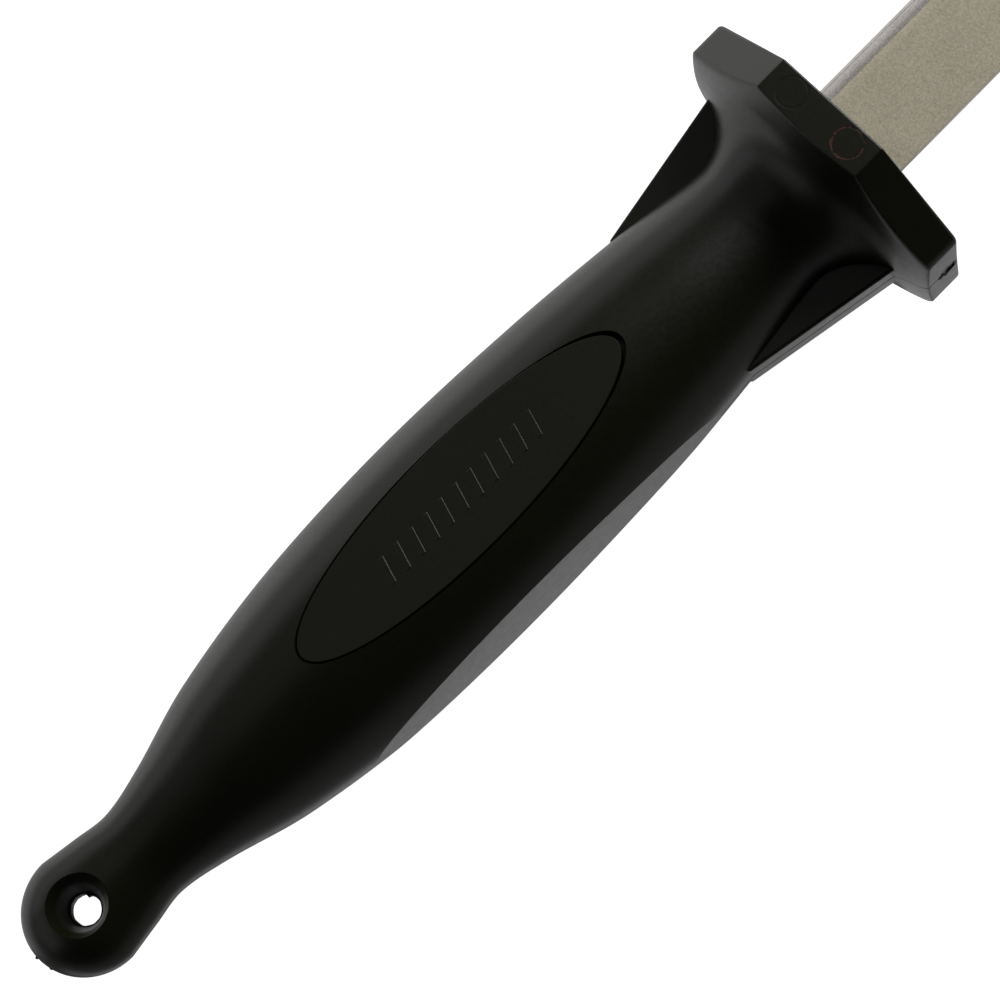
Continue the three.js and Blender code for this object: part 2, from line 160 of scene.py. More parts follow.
def mesh_object(name, points, faces):
    mesh = bpy.data.meshes.new(name)
    mesh.from_pydata((np.asarray(points, float) * MM).tolist(), [], faces)
    mesh.validate()
    piece = bpy.data.objects.new(name, mesh)
    bpy.context.scene.collection.objects.link(piece)
    mesh.shade_smooth()
    return piece


def skin(name, rings):
    """A closed solid through a row of rings of points. A ring may be a single point."""
    count = max(len(ring) for ring in rings)
    points, starts = [], []
    for ring in rings:
        starts.append(len(points))
        points.extend(np.asarray(ring, float).tolist())
    faces = []
    for r in range(len(rings) - 1):
        a, b = starts[r], starts[r + 1]
        one, other = len(rings[r]) == 1, len(rings[r + 1]) == 1
        for k in range(count):
            n = (k + 1) % count
            if one:
                faces.append((a, b + n, b + k))
            elif other:
                faces.append((a + k, a + n, b))
            else:
                faces.append((a + k, a + n, b + n, b + k))
    for r, turn in ((0, -1), (len(rings) - 1, 1)):
        if len(rings[r]) > 1:
            faces.append(tuple(range(starts[r], starts[r] + count))[::turn])
    return mesh_object(name, points, faces)


def clean_solid(piece):
    """Merges doubled points and turns the faces outward."""
    bm = bmesh.new()
    bm.from_mesh(piece.data)
    bmesh.ops.remove_doubles(bm, verts=bm.verts, dist=1e-7)
    bmesh.ops.recalc_face_normals(bm, faces=bm.faces)
    bm.to_mesh(piece.data)
    bm.free()
    return piece


def tag_faces(piece, index):
    """Marks which cut a face comes from, so that edges between cuts stay crisp."""
    while len(piece.data.materials) <= index:
        piece.data.materials.append(None)
    piece.data.polygons.foreach_set("material_index", [index] * len(piece.data.polygons))


def copy_of(piece, name):
    other = piece.copy()
    other.data = piece.data.copy()
    other.name = name
    bpy.context.scene.collection.objects.link(other)
    return other


def combine(piece, tool, operation, keep_tool=False):
    modifier = piece.modifiers.new("combine", "BOOLEAN")
    modifier.operation = operation
    modifier.solver = "MANIFOLD"
    modifier.object = tool
    graph = bpy.context.evaluated_depsgraph_get()
    result = bpy.data.meshes.new_from_object(piece.evaluated_get(graph))
    piece.modifiers.clear()
    old = piece.data
    piece.data = result
    bpy.data.meshes.remove(old)
    if not keep_tool:
        drop(tool)
    return piece


def drop(piece):
    mesh = piece.data
    bpy.data.objects.remove(piece)
    bpy.data.meshes.remove(mesh)


def crisp(piece, angle=10.0):
    """Smooth shading, with sharp edges between cuts and past the angle given in degrees."""
    mesh = piece.data
    bm = bmesh.new()
    bm.from_mesh(mesh)
    limit = math.radians(angle)
    for edge in bm.edges:
        if len(edge.link_faces) != 2:
            continue
        one, other = edge.link_faces
        same_cut = one.material_index == other.material_index
        edge.smooth = same_cut and edge.calc_face_angle(0) < limit
    for face in bm.faces:
        face.smooth = True
        face.material_index = 0
    bm.to_mesh(mesh)
    bm.free()
    return piece


def dress(piece, material, slot, *nodes):
    """Gives a finished piece its material and its body, and hides the CAD nodes it stands for. The
    slot name is not used.
    """
    piece.data.materials.clear()
    piece.data.materials.append(material)
    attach(piece, BODY)
    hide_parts(*nodes)
    return piece


# ------------------------------------------------------------------ handle sections

def smooth_rows(distance, column):
    rows = GRIP_PROFILE
    last = len(rows) - 1
    i = np.clip(np.searchsorted(rows[:, 0], distance) - 1, 0, last - 1)

    def slope(j):
        before, after = rows[max(j - 1, 0)], rows[min(j + 1, last)]
        return (after[column] - before[column]) / (after[0] - before[0])

    span = rows[i + 1][0] - rows[i][0]
    t = min(max((distance - rows[i][0]) / span, 0), 1)
    return (
        rows[i][column] * (2 * t**3 - 3 * t**2 + 1)
        + slope(i) * span * (t**3 - 2 * t**2 + t)
        + rows[i + 1][column] * (3 * t**2 - 2 * t**3)
        + slope(i + 1) * span * (t**3 - t**2)
    )


def grip_size(distance):
    inside = min(distance, BUTT_CENTRE)
    t = min(max((distance - BUTT_CENTRE) / (HANDLE_LENGTH - BUTT_CENTRE), 0), 1)
    shrink = math.sqrt(1 - t * t)
    return smooth_rows(inside, 1) * shrink, smooth_rows(inside, 2) * shrink


def octagon(steps=34, arc_steps=8):
    """Points of the guard's rounded outline, counterclockwise from the middle of its +Y end."""
    w, h = GUARD_HALF_WIDTH, GUARD_HALF_HEIGHT
    corners = np.array([
        (w, GUARD_END_HALF), (GUARD_TOP_HALF, h), (-GUARD_TOP_HALF, h), (-w, GUARD_END_HALF),
        (-w, -GUARD_END_HALF), (-GUARD_TOP_HALF, -h), (GUARD_TOP_HALF, -h), (w, -GUARD_END_HALF),
    ])
    arcs = []
    for k in range(8):
        before, corner, after = corners[k - 1], corners[k], corners[(k + 1) % 8]
        radius = TOP_CORNER_ROUNDING if abs(corner[1]) == h else END_CORNER_ROUNDING
        into = (corner - before) / np.linalg.norm(corner - before)
        out = (after - corner) / np.linalg.norm(after - corner)
        turn = math.atan2(into[0] * out[1] - into[1] * out[0], into @ out)
        normal_in = np.array([into[1], -into[0]])
        normal_out = np.array([out[1], -out[0]])
        bisector = (normal_in + normal_out) / np.linalg.norm(normal_in + normal_out)
        centre = corner - bisector * radius / math.cos(turn / 2)
        start = math.atan2(normal_in[1], normal_in[0])
        angles = start + turn * np.linspace(0, 1, arc_steps + 1)
        arcs.append(centre + radius * np.column_stack([np.cos(angles), np.sin(angles)]))
    seam_stops = np.array([0.0018, 0.0075, 0.03])
    points = []
    for k in range(8):
        first, second = arcs[k - 1][-1], arcs[k][0]
        share = np.linspace(0, 1, steps + 1)[1:-1]
        if k in (0, 4):
            share = np.sort(np.concatenate([share, 0.5 - seam_stops, 0.5 + seam_stops]))
        points.extend(first + (second - first) * s for s in share)
        points.extend(arcs[k])
    return np.array(points)


GUARD_OUTLINE = octagon()
ANGLES = np.arctan2(GUARD_OUTLINE[:, 1], GUARD_OUTLINE[:, 0])
GUARD_REACH = np.linalg.norm(GUARD_OUTLINE, axis=1)
ROUND = np.column_stack([np.cos(ANGLES), np.sin(ANGLES)])
TOWARDS_END = np.abs(ROUND[:, 0]) ** 4


def seam_groove():
    """How deep the seam's groove is at each point of a ring: only beside the middle plane."""
    away = np.abs(np.sin(ANGLES)) * GUARD_HALF_WIDTH
    return SEAM_DEPTH * np.clip(1 - (away - SEAM_HALF_GAP) / SEAM_SLOPE, 0, 1)


GROOVE = seam_groove()


def ring_at(distance, outline):
    x = np.full(len(outline), GUARD_FRONT - distance)
    return np.column_stack([x, outline])


def grip_outline(distance, inset=0.0):
    width, height = grip_size(distance)
    width, height = max(width - inset, 0.01), max(height - inset, 0.01)
    reach = width * height / np.hypot(height * np.cos(ANGLES), width * np.sin(ANGLES))
    within = min(distance - SEAM_WORN_OFF[0], SEAM_WORN_OFF[1] - distance)
    worn = np.clip(within / SEAM_FADE, 0, 1)
    reach = reach - np.minimum(GROOVE * (1 - worn), reach * 0.1)
    return np.column_stack([reach * np.cos(ANGLES), reach * np.sin(ANGLES)])


def rounded_less(one, other, blend):
    """The smaller of two distances, with a rounded change from one to the other."""
    near = np.clip(1 - np.abs(one - other) / blend, 0, 1)
    return np.minimum(one, other) - near**2 * blend / 4


def flare_rings():
    """A round concave flare cut off by the guard's eight sides, which leaves a curved edge."""
    sizes = []
    for angle in np.linspace(0, FLARE_SLOPE, 30)[1:]:
        rise = FLARE_RADIUS * (1 - math.cos(angle))
        sizes.append((FLARE_START - FLARE_RADIUS * math.sin(angle), WAIST + rise))
    blend = RIM_BACK_BLEND[0] + RIM_BACK_BLEND[1] * TOWARDS_END
    edge = GUARD_HALF_HEIGHT - 1.5
    coarse = np.linspace(sizes[-1][1], edge, 8)[1:]
    fine = np.linspace(edge, PAST_THE_GUARD, 56)[1:]
    for reach in np.concatenate([coarse, fine]):
        behind_rim = (GUARD_HALF_WIDTH - reach) / math.tan(FLARE_SLOPE)
        sizes.append((RIM_THICKNESS + behind_rim, reach))
    rings = []
    for distance, reach in sizes:
        wide = reach + FLARE_WIDENING * (reach - WAIST) / (GUARD_HALF_WIDTH - WAIST)
        round_reach = wide * reach / np.hypot(reach * ROUND[:, 0], wide * ROUND[:, 1])
        cut = rounded_less(round_reach, GUARD_REACH, blend) - GROOVE
        rings.append(ring_at(distance, ROUND * cut[:, None]))
    return rings


def rim_rings():
    """The guard's sides and its front edge, which is rounder towards the two ends."""
    radius = RIM_EDGE[0] + RIM_EDGE[1] * TOWARDS_END
    rings = [ring_at(RIM_THICKNESS / 2, ROUND * (GUARD_REACH - GROOVE)[:, None])]
    for angle in np.linspace(0, math.pi / 2, 13):
        distance = radius * (1 - math.sin(angle))
        reach = GUARD_REACH - GROOVE - radius * (1 - math.cos(angle))
        rings.append(np.column_stack([GUARD_FRONT - distance, ROUND * reach[:, None]]))
    rings.append(ring_at(0, ROUND * (reach - 0.2)[:, None]))
    return rings


def handle_body():
    rings = [np.array([[BUTT_END, 0, 0]])]
    for turn in np.linspace(0, math.pi / 2, 26)[1:]:
        distance = BUTT_CENTRE + (HANDLE_LENGTH - BUTT_CENTRE) * math.cos(turn)
        rings.append(ring_at(distance, grip_outline(distance)))
    for distance in np.linspace(BUTT_CENTRE, FLARE_START, 200)[1:]:
        rings.append(ring_at(distance, grip_outline(distance)))
    rings += flare_rings() + rim_rings()
    return clean_solid(skin("handle_body", rings))


# ------------------------------------------------------------------ handle cuts and additions

def web(side):
    """A flat web from grip to guard, with softened edges and the seam along its rim."""
    (x0, y0), (x1, y1) = WEB_EDGE
    upper = [0.03, 0.13] + [WEB_HALF_THICKNESS - down for down in (0.4, 0.2, 0.07, 0)]
    levels = []
    for z in [-height for height in upper[::-1]] + upper:
        edge = max(abs(z) - WEB_HALF_THICKNESS + WEB_EDGE_ROUNDING, 0) / WEB_EDGE_ROUNDING
        soft = WEB_EDGE_ROUNDING * (1 - math.sqrt(max(1 - edge * edge, 0)))
        seam = SEAM_DEPTH if abs(z) < SEAM_SLOPE else 0
        levels.append((z, soft + seam))
    rings = []
    for z, inset in levels:
        outline = [WEB_ROOT[0], (x0, y0 - inset), (x1, y1 - inset), WEB_ROOT[1]]
        rings.append(np.array([(GUARD_FRONT - d, side * y, z) for d, y in outline]))
    piece = clean_solid(skin(f"web_{side}", rings))
    tag_faces(piece, WEB_CUT)
    return piece


def prism(name, outline, z0, z1, index):
    rings = [np.column_stack([outline, np.full(len(outline), z)]) for z in (z0, z1)]
    piece = clean_solid(skin(name, rings))
    tag_faces(piece, index)
    return piece


def side_facet(side):
    depth, radius, behind, half = SIDE_FACETS[side]
    centre = GUARD_FRONT - behind
    x = np.linspace(-half, half, 2 * half + 1)
    arc = np.column_stack([centre + x, side * (depth - x**2 / (2 * radius))])
    outside = side * (depth + 4)
    outline = np.vstack([arc, [[centre + half, outside], [centre - half, outside]]])
    height = SIDE_FACET_HALF_HEIGHT
    return prism(f"side_facet_{side}", outline, -height, height, FACET_CUT)


def ellipse(half_length, half_width, steps=160):
    turn = np.linspace(0, 2 * math.pi, steps, endpoint=False)
    centre = GUARD_FRONT - OVAL_CENTRE
    return np.column_stack([centre + half_length * np.cos(turn), half_width * np.sin(turn)])


def oval_recess(side):
    """The oval pocket, with a narrow chamfer where it meets the grip."""
    face = OVAL_FACE
    levels = [(POCKET_FLOOR, 0.0), (face - 0.25, 0.0), (face + 0.05, 0.14), (face + 4, 1.2)]
    rings = []
    for z, grow in levels:
        outline = ellipse(OVAL_HALF_LENGTH + grow, OVAL_HALF_WIDTH + grow)
        rings.append(np.column_stack([outline, np.full(len(outline), side * z)]))
    piece = clean_solid(skin(f"oval_recess_{side}", rings))
    tag_faces(piece, OVAL_CUT)
    return piece


def hanging_hole():
    """A steep funnel from each face to a ragged throat, where the moulded halves meet."""
    random.seed(7)
    bumps = [random.uniform(-0.1, 0.05) for _ in range(28)]
    for index, nub in ((3, 0.34), (2, 0.14)):  # one larger nub of flash
        bumps[index] -= nub
    rows = list(HOLE_PROFILE) + [(radius, -z) for radius, z in HOLE_PROFILE[::-1][1:]]
    steps = 168
    centre = GUARD_FRONT - BUTT_CENTRE
    rings = []
    for radius, z in rows:
        ring = []
        for k in range(steps):
            turn = 2 * math.pi * k / steps
            spot = k / steps * len(bumps)
            low, share = int(spot), spot - int(spot)
            rough = bumps[low] * (1 - share) + bumps[(low + 1) % len(bumps)] * share
            reach = radius + rough * max(0, 1 - (abs(z) / THROAT_HALF_HEIGHT) ** 2)
            ring.append((centre + reach * math.cos(turn), reach * math.sin(turn), z))
        rings.append(np.array(ring))
    piece = clean_solid(skin("hanging_hole", rings))
    tag_faces(piece, HOLE_CUT)
    return piece


def ring_mark(y):
    """A fine round groove on the guard's upper flat."""
    steps = 72
    rows = []
    for k in range(steps):
        turn = 2 * math.pi * k / steps
        for offset, z in RING_SECTION:
            reach = RING_RADIUS + offset
            x = GUARD_FRONT - RIM_THICKNESS / 2 + reach * math.cos(turn)
            rows.append((x, y + reach * math.sin(turn), GUARD_HALF_HEIGHT + z))
    count = len(RING_SECTION)
    faces = []
    for k in range(steps):
        a, b = k * count, ((k + 1) % steps) * count
        for j in range(count):
            n = (j + 1) % count
            faces.append((a + j, b + j, b + n, a + n))
    piece = clean_solid(mesh_object(f"ring_mark_{y}", rows, faces))
    tag_faces(piece, RING_CUT)
    return piece


def rough_lens(name, centre, size, seed):
    """A small rough blob: a nub of flash, or the torn place that flash leaves."""
    bm = bmesh.new()
    bmesh.ops.create_icosphere(bm, subdivisions=4, radius=1)
    for vertex in bm.verts:
        shake = 1 + 0.3 * noise.noise(vertex.co * 2.6 + Vector((seed, 0, 0)))
        shake += 0.22 * noise.noise(vertex.co * 8 + Vector((0, seed, 0)))
        vertex.co = Vector(c * s for c, s in zip(vertex.co * shake, size))
    points = [[v.co.x + centre[0], v.co.y + centre[1], v.co.z + centre[2]] for v in bm.verts]
    faces = [[v.index for v in face.verts] for face in bm.faces]
    bm.free()
    piece = clean_solid(mesh_object(name, points, faces))
    tag_faces(piece, ROUGH_CUT)
    return piece


def half_space(side):
    rear, front = BUTT_END - 2, GUARD_FRONT + 2
    wide = PAST_THE_GUARD
    outline = np.array([(rear, -wide), (front, -wide), (front, wide), (rear, wide)])
    z0, z1 = sorted((side * SEAM_HALF_GAP, side * wide))
    return prism(f"half_space_{side}", outline, z0, z1, SPLIT_CUT)


def hollow_of(node, side):
    """What the CAD half leaves open inside: a smaller handle without the CAD solid."""
    rings = [ring_at(d, grip_outline(d, WALL)) for d in np.linspace(120, FLARE_START + 4, 60)]
    inner = clean_solid(skin(f"inner_{side}", rings))
    cad = copy_of(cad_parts[node], f"cad_copy_{side}")
    cad.parent = None
    clean_solid(cad)
    combine(inner, cad, "DIFFERENCE")
    combine(inner, half_space(side), "INTERSECT")
    tag_faces(inner, HOLLOW_CUT)
    return inner


def handle_outside():
    body = handle_body()
    for side in (1, -1):
        combine(body, web(side), "UNION")
    for name, centre, size, seed, operation in ROUGH_SPOTS:
        combine(body, rough_lens(name, centre, size, seed), operation)
    for side in (1, -1):
        combine(body, side_facet(side), "DIFFERENCE")
    combine(body, hanging_hole(), "DIFFERENCE")
    for y in (RING_OFFSET, -RING_OFFSET):
        combine(body, ring_mark(y), "DIFFERENCE")
    return body


# ------------------------------------------------------------------ bar sections

SPINE_CENTRE = BAR_HALF_WIDTH - SPINE_SHORTFALL - SPINE_RADIUS
EDGE_REACH = SPINE_CENTRE + BAR_HALF_WIDTH
FLAT_LEAN = math.asin(SPINE_RADIUS / math.hypot(EDGE_REACH, EDGE_HALF_THICKNESS)) - math.atan2(
    EDGE_HALF_THICKNESS, EDGE_REACH
)
TANGENT = math.pi / 2 + FLAT_LEAN
SPINE_SPAN = math.radians(79)
SHEET_THICKNESS = 0.4
SHEET_EDGE = -7.28
SHEET_END_GAP = 0.004  # between the spine's strip and each sheet, in radians
LAYER_GAP = 0.05
LIP = 0.012  # how far the layers' outer edges are eased
SPINE_GROOVE = math.radians(43)
SPINE_GROOVE_HALF_WIDTH = math.radians(1.8)
SPINE_GROOVE_DEPTH = 0.07


def on_spine(angle, inset=0.0):
    reach = SPINE_RADIUS - inset
    return (SPINE_CENTRE + reach * math.cos(angle), reach * math.sin(angle))


def on_flat(y, inset=0.0):
    rise = (y + BAR_HALF_WIDTH) * math.tan(FLAT_LEAN)
    return (y, EDGE_HALF_THICKNESS + rise - inset / math.cos(FLAT_LEAN))


def mirrored(outline):
    return [(y, -z) for y, z in outline][::-1]


def closed_by_mirror(upper):
    """Upper half of a section, from the spine to the thin edge, completed below."""
    return upper + mirrored(upper)[:-1]


def spine_arc(start, end, inset, steps):
    return [on_spine(a, inset) for a in np.linspace(start, end, steps + 1)]


def whole_section(inset):
    """The full teardrop, with a softened thin edge."""
    soft = 0.18
    y = -BAR_HALF_WIDTH
    upper = spine_arc(0, TANGENT, inset, 30)
    upper.append(on_flat(y + soft + inset, inset))
    corner = on_flat(y, 0)[1] - inset
    upper += [(y + 0.05 + inset, corner - 0.02), (y + inset, corner - soft)]
    return closed_by_mirror(upper)


def core_section(clearance=0.0):
    inset = SHEET_THICKNESS + LAYER_GAP - clearance
    nose = SHEET_EDGE - LAYER_GAP + clearance
    y = -BAR_HALF_WIDTH - clearance
    upper = spine_arc(0, TANGENT, inset, 30)
    upper += [on_flat(nose, inset), on_flat(nose, -clearance), on_flat(y + 0.1, -clearance)]
    corner = EDGE_HALF_THICKNESS + clearance
    upper += [(y + 0.03, corner - 0.03), (y, corner - 0.16)]
    return closed_by_mirror(upper)


def sheet_section():
    """One abrasive face: a thin layer from the spine strip's edge to the bar's thin edge."""
    start = SPINE_SPAN + SHEET_END_GAP
    outer = [on_spine(start, LIP)] + spine_arc(start + LIP / SPINE_RADIUS, TANGENT, 0, 12)
    outer += [on_flat(SHEET_EDGE + LIP), on_flat(SHEET_EDGE, LIP)]
    inner = spine_arc(start, TANGENT, SHEET_THICKNESS, 12) + [on_flat(SHEET_EDGE, SHEET_THICKNESS)]
    return outer + inner[::-1]


def spine_section():
    """The strip round the spine, with a fine groove along each of its sides."""
    lip = SPINE_SPAN - LIP / SPINE_RADIUS
    groove, half = SPINE_GROOVE, SPINE_GROOVE_HALF_WIDTH
    outer = [on_spine(-SPINE_SPAN, LIP)] + spine_arc(-lip, -groove - half, 0, 12)
    outer += [on_spine(-groove, SPINE_GROOVE_DEPTH)]
    outer += spine_arc(-groove + half, groove - half, 0, 28)
    outer += [on_spine(groove, SPINE_GROOVE_DEPTH)]
    outer += spine_arc(groove + half, lip, 0, 12) + [on_spine(SPINE_SPAN, LIP)]
    inner = spine_arc(-SPINE_SPAN, SPINE_SPAN, SHEET_THICKNESS, 48)
    return outer + inner[::-1]


def bar_length(name, outline, x0, x1, index=0):
    rings = [np.array([(x, y, z) for y, z in outline]) for x in (x0, x1)]
    piece = clean_solid(skin(name, rings))
    tag_faces(piece, index)
    return piece


def round_cut(x, y, radius, z0, z1):
    turn = np.linspace(0, 2 * math.pi, 48, endpoint=False)
    outline = np.column_stack([x + radius * np.cos(turn), y + radius * np.sin(turn)])
    return prism(f"round_cut_{x:.0f}_{y:.0f}", outline, z0, z1, ROUND_CUT)


# ------------------------------------------------------------------ materials

def nodes_of(material):
    tree = material.node_tree
    return tree.nodes, tree.links


def new_material(name, roughness, metallic, specular=0.5):
    material = bpy.data.materials.new(name)
    material.use_nodes = True
    shader = material.node_tree.nodes["Principled BSDF"]
    shader.inputs["Roughness"].default_value = roughness
    shader.inputs["Metallic"].default_value = metallic
    shader.inputs["Specular IOR Level"].default_value = specular
    return material, shader


def noise_node(material, scale, detail, roughness=0.55, stretch=(1, 1, 1)):
    nodes, links = nodes_of(material)
    place = nodes.new("ShaderNodeTexCoord")
    mapping = nodes.new("ShaderNodeMapping")
    mapping.inputs["Scale"].default_value = stretch
    grain = nodes.new("ShaderNodeTexNoise")
    grain.inputs["Scale"].default_value = scale
    grain.inputs["Detail"].default_value = detail
    grain.inputs["Roughness"].default_value = roughness
    links.new(place.outputs["Object"], mapping.inputs["Vector"])
    links.new(mapping.outputs["Vector"], grain.inputs["Vector"])
    return grain


def ramp(material, source, stops):
    nodes, links = nodes_of(material)
    node = nodes.new("ShaderNodeValToRGB")
    elements = node.color_ramp.elements
    while len(elements) < len(stops):
        elements.new(0.5)
    for element, (spot, colour) in zip(elements, stops):
        element.position = spot
        element.color = (*colour, 1)
    links.new(source, node.inputs["Fac"])
    return node.outputs["Color"]


def remap(material, source, low, high):
    nodes, links = nodes_of(material)
    node = nodes.new("ShaderNodeMapRange")
    node.inputs["From Min"].default_value = 0.3
    node.inputs["From Max"].default_value = 0.7
    node.inputs["To Min"].default_value = low
    node.inputs["To Max"].default_value = high
    links.new(source, node.inputs["Value"])
    return node.outputs["Result"]


def bump(material, shader, source, distance, before=None):
    nodes, links = nodes_of(material)
    node = nodes.new("ShaderNodeBump")
    node.inputs["Distance"].default_value = distance
    node.inputs["Strength"].default_value = 1.0
    links.new(source, node.inputs["Height"])
    if before is not None:
        links.new(before, node.inputs["Normal"])
    links.new(node.outputs["Normal"], shader.inputs["Normal"])
    return node.outputs["Normal"]


def maths(material, operation, *values):
    """One Math node. Each value is a socket or a number."""
    nodes, links = nodes_of(material)
    node = nodes.new("ShaderNodeMath")
    node.operation = operation
    for socket, value in zip(node.inputs, values):
        if isinstance(value, bpy.types.NodeSocket):
            links.new(value, socket)
        else:
            socket.default_value = value
    return node.outputs["Value"]


RESIDUE_COLOUR = (0.085, 0.03, 0.018, 1)


def residue_mask(material):
    """Where dirt has stayed in the round groove on the -Y side of the guard's top flat."""
    nodes, links = nodes_of(material)
    place = nodes.new("ShaderNodeTexCoord")
    offset = nodes.new("ShaderNodeVectorMath")
    offset.operation = "SUBTRACT"
    offset.inputs[1].default_value = (
        (GUARD_FRONT - RIM_THICKNESS / 2) * MM, -RING_OFFSET * MM, GUARD_HALF_HEIGHT * MM
    )
    split = nodes.new("ShaderNodeSeparateXYZ")
    links.new(place.outputs["Object"], offset.inputs[0])
    links.new(offset.outputs["Vector"], split.inputs["Vector"])
    x, y, z = (split.outputs[axis] for axis in "XYZ")
    across = maths(material, "SQRT", maths(
        material, "ADD", maths(material, "MULTIPLY", x, x), maths(material, "MULTIPLY", y, y)
    ))
    away = maths(material, "ABSOLUTE", maths(material, "SUBTRACT", across, RING_RADIUS * MM))
    patches = noise_node(material, 620, 3)
    width = maths(material, "MULTIPLY", patches.outputs["Fac"], 0.00062)
    inside = maths(material, "LESS_THAN", away, maths(material, "SUBTRACT", width, 0.0002))
    on_top = maths(material, "GREATER_THAN", z, -0.0004)
    speck = noise_node(material, 1500, 2)
    patchy = maths(material, "GREATER_THAN", speck.outputs["Fac"], 0.46)
    return maths(material, "MULTIPLY", maths(material, "MULTIPLY", inside, on_top), patchy)


def moulded_plastic(name, dark, light, roughness, grain, stained=False):
    material, shader = new_material(name, roughness, 0.0)
    nodes, links = nodes_of(material)
    cloud = noise_node(material, 60, 4)
    colour = ramp(material, cloud.outputs["Fac"], [(0.3, dark), (0.7, light)])
    if stained:
        mix = nodes.new("ShaderNodeMix")
        mix.data_type = "RGBA"
        links.new(residue_mask(material), mix.inputs["Factor"])
        links.new(colour, mix.inputs["A"])
        mix.inputs["B"].default_value = RESIDUE_COLOUR
        colour = mix.outputs["Result"]
    links.new(colour, shader.inputs["Base Color"])
    fine = noise_node(material, 1500, 3)
    rough = remap(material, fine.outputs["Fac"], roughness - 0.03, roughness + 0.03)
    links.new(rough, shader.inputs["Roughness"])
    ripple = bump(material, shader, cloud.outputs["Fac"], 0.000006)
    pores = noise_node(material, 4200, 2)
    bump(material, shader, pores.outputs["Fac"], grain, before=ripple)
    return material


def gritty_metal(name, dark, middle, light, roughness, metallic, scale, depth):
    material, shader = new_material(name, roughness, metallic)
    links = material.node_tree.links
    grit = noise_node(material, scale, 3, 0.7)
    cloud = noise_node(material, 140, 4, 0.6)
    clouds = maths(material, "MULTIPLY", cloud.outputs["Fac"], 0.25)
    mixed = maths(material, "MULTIPLY_ADD", grit.outputs["Fac"], 0.75, clouds)
    colour = ramp(material, mixed, [(0.36, dark), (0.5, middle), (0.64, light)])
    links.new(colour, shader.inputs["Base Color"])
    rough = remap(material, grit.outputs["Fac"], roughness - 0.08, roughness + 0.08)
    links.new(rough, shader.inputs["Roughness"])
    bump(material, shader, grit.outputs["Fac"], depth)
    return material


def ground_steel(name, dark, light, roughness, metallic):
    material, shader = new_material(name, roughness, metallic)
    links = material.node_tree.links
    lines = noise_node(material, 900, 4, 0.6, stretch=(0.05, 1, 1))
    colour = ramp(material, lines.outputs["Fac"], [(0.3, dark), (0.7, light)])
    links.new(colour, shader.inputs["Base Color"])
    rough = remap(material, lines.outputs["Fac"], roughness - 0.06, roughness + 0.1)
    links.new(rough, shader.inputs["Roughness"])
    bump(material, shader, lines.outputs["Fac"], 0.00001)
    return material


PLASTIC = ((0.0055, 0.006, 0.0016), (0.0073, 0.008, 0.0022))
HANDLE_LOOK = moulded_plastic("handle_plastic", *PLASTIC, 0.34, 0.000006, stained=True)
PLATE_LOOK = moulded_plastic("plate_plastic", *PLASTIC, 0.38, 0.000008)
CAP_LOOK = moulded_plastic("cap_plastic", *PLASTIC, 0.34, 0.000006)
COARSE_LOOK = gritty_metal(
    "coarse_grit", (0.56, 0.515, 0.375), (0.7, 0.64, 0.485), (0.83, 0.76, 0.585),
    roughness=0.62, metallic=0.15, scale=3000, depth=0.00003,
)
MEDIUM_LOOK = gritty_metal(
    "medium_grit", (0.48, 0.45, 0.35), (0.63, 0.59, 0.45), (0.78, 0.73, 0.57),
    roughness=0.58, metallic=0.15, scale=8000, depth=0.00002,
)
FINE_LOOK = gritty_metal(
    "fine_grit", (0.46, 0.425, 0.395), (0.66, 0.615, 0.57), (0.86, 0.8, 0.75),
    roughness=0.36, metallic=0.6, scale=5200, depth=0.00002,
)
BAR_LOOK = ground_steel("bar_steel", (0.52, 0.49, 0.46), (0.64, 0.61, 0.57), 0.5, 0.15)
DOWEL_LOOK = ground_steel("dowel_steel", (0.45, 0.45, 0.45), (0.55, 0.55, 0.55), 0.3, 0.95)


# ------------------------------------------------------------------ pieces

# [distance behind the guard's front face, across, radius]
POSTS = ((2.4, 14.5, 1), (2.4, -14.5, 1), (113, 0, 2))
POST_LENGTH = 2.6
POST_SLACK = (0.1, 0.2)  # how much wider and deeper a post's hole is
TANG_MOUTH = 17.0
MOUTH_SLACK = 0.07


def handle_halves():
    whole = handle_outside()
    rear, front = GUARD_FRONT - TANG_MOUTH, GUARD_FRONT + 2
    mouth = bar_length("mouth", whole_section(-MOUTH_SLACK), rear, front, ROUND_CUT)
    combine(whole, mouth, "DIFFERENCE")
    for side, node in ((1, "handle_half_top"), (-1, "handle_half_bottom")):
        half = copy_of(whole, f"{node}_moulding")
        combine(half, half_space(side), "INTERSECT")
        combine(half, oval_recess(side), "DIFFERENCE")
        combine(half, hollow_of(node, side), "DIFFERENCE")
        for distance, y, radius in POSTS:
            x = GUARD_FRONT - distance
            if side > 0:
                combine(half, round_cut(x, y, radius, -POST_LENGTH, 2), "UNION")
            else:
                wider, deeper = POST_SLACK
                socket = round_cut(x, y, radius + wider, -POST_LENGTH - deeper, 1)
                combine(half, socket, "DIFFERENCE")
        dress(crisp(half), HANDLE_LOOK, "handle_plastic", node)
    drop(whole)


